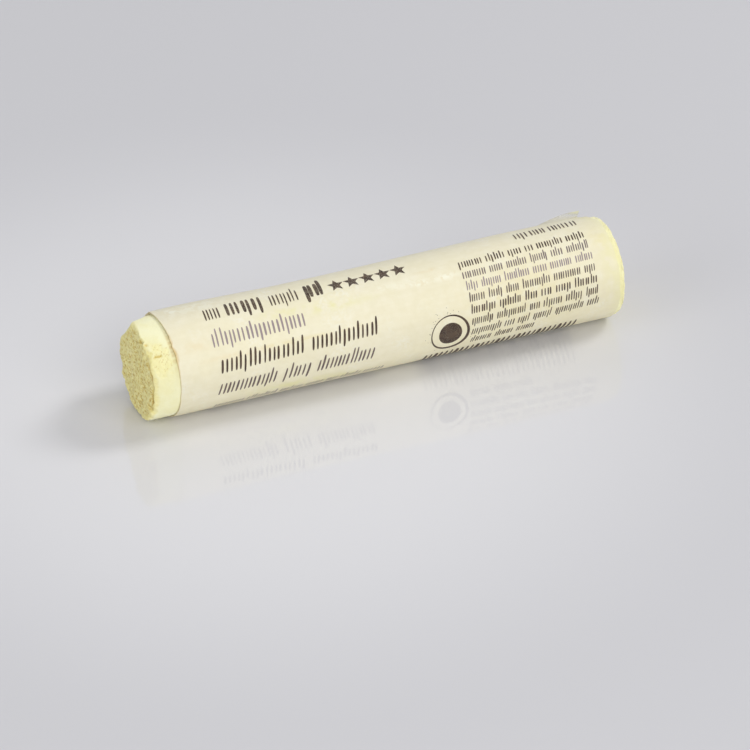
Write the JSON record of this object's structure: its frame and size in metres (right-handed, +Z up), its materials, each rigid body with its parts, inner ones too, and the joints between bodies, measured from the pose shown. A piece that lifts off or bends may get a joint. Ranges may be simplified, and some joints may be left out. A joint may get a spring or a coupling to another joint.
{
  "type": "soft pastel stick",
  "caption": "Round soft pastel stick in a rolled printed paper sleeve, lying on its side, with one worn broken end bare.",
  "frame": {"origin": "middle of the underside, on the surface that the stick lies on", "axes": "+X along the stick from the worn bare end to the far end, +Z up, -Y the printed side that faces the viewer"},
  "size_m": [0.0655, 0.0135, 0.0135],
  "materials": {
    "chalk": "matt, powdery and porous",
    "paper": "thin smooth label paper with a slight gloss",
    "ink": "dull printing ink on the paper"
  },
  "bodies": {
    "root": {"pastel_stick": "chalk", "paper_sleeve": "paper"}
  },
  "joints": []
}
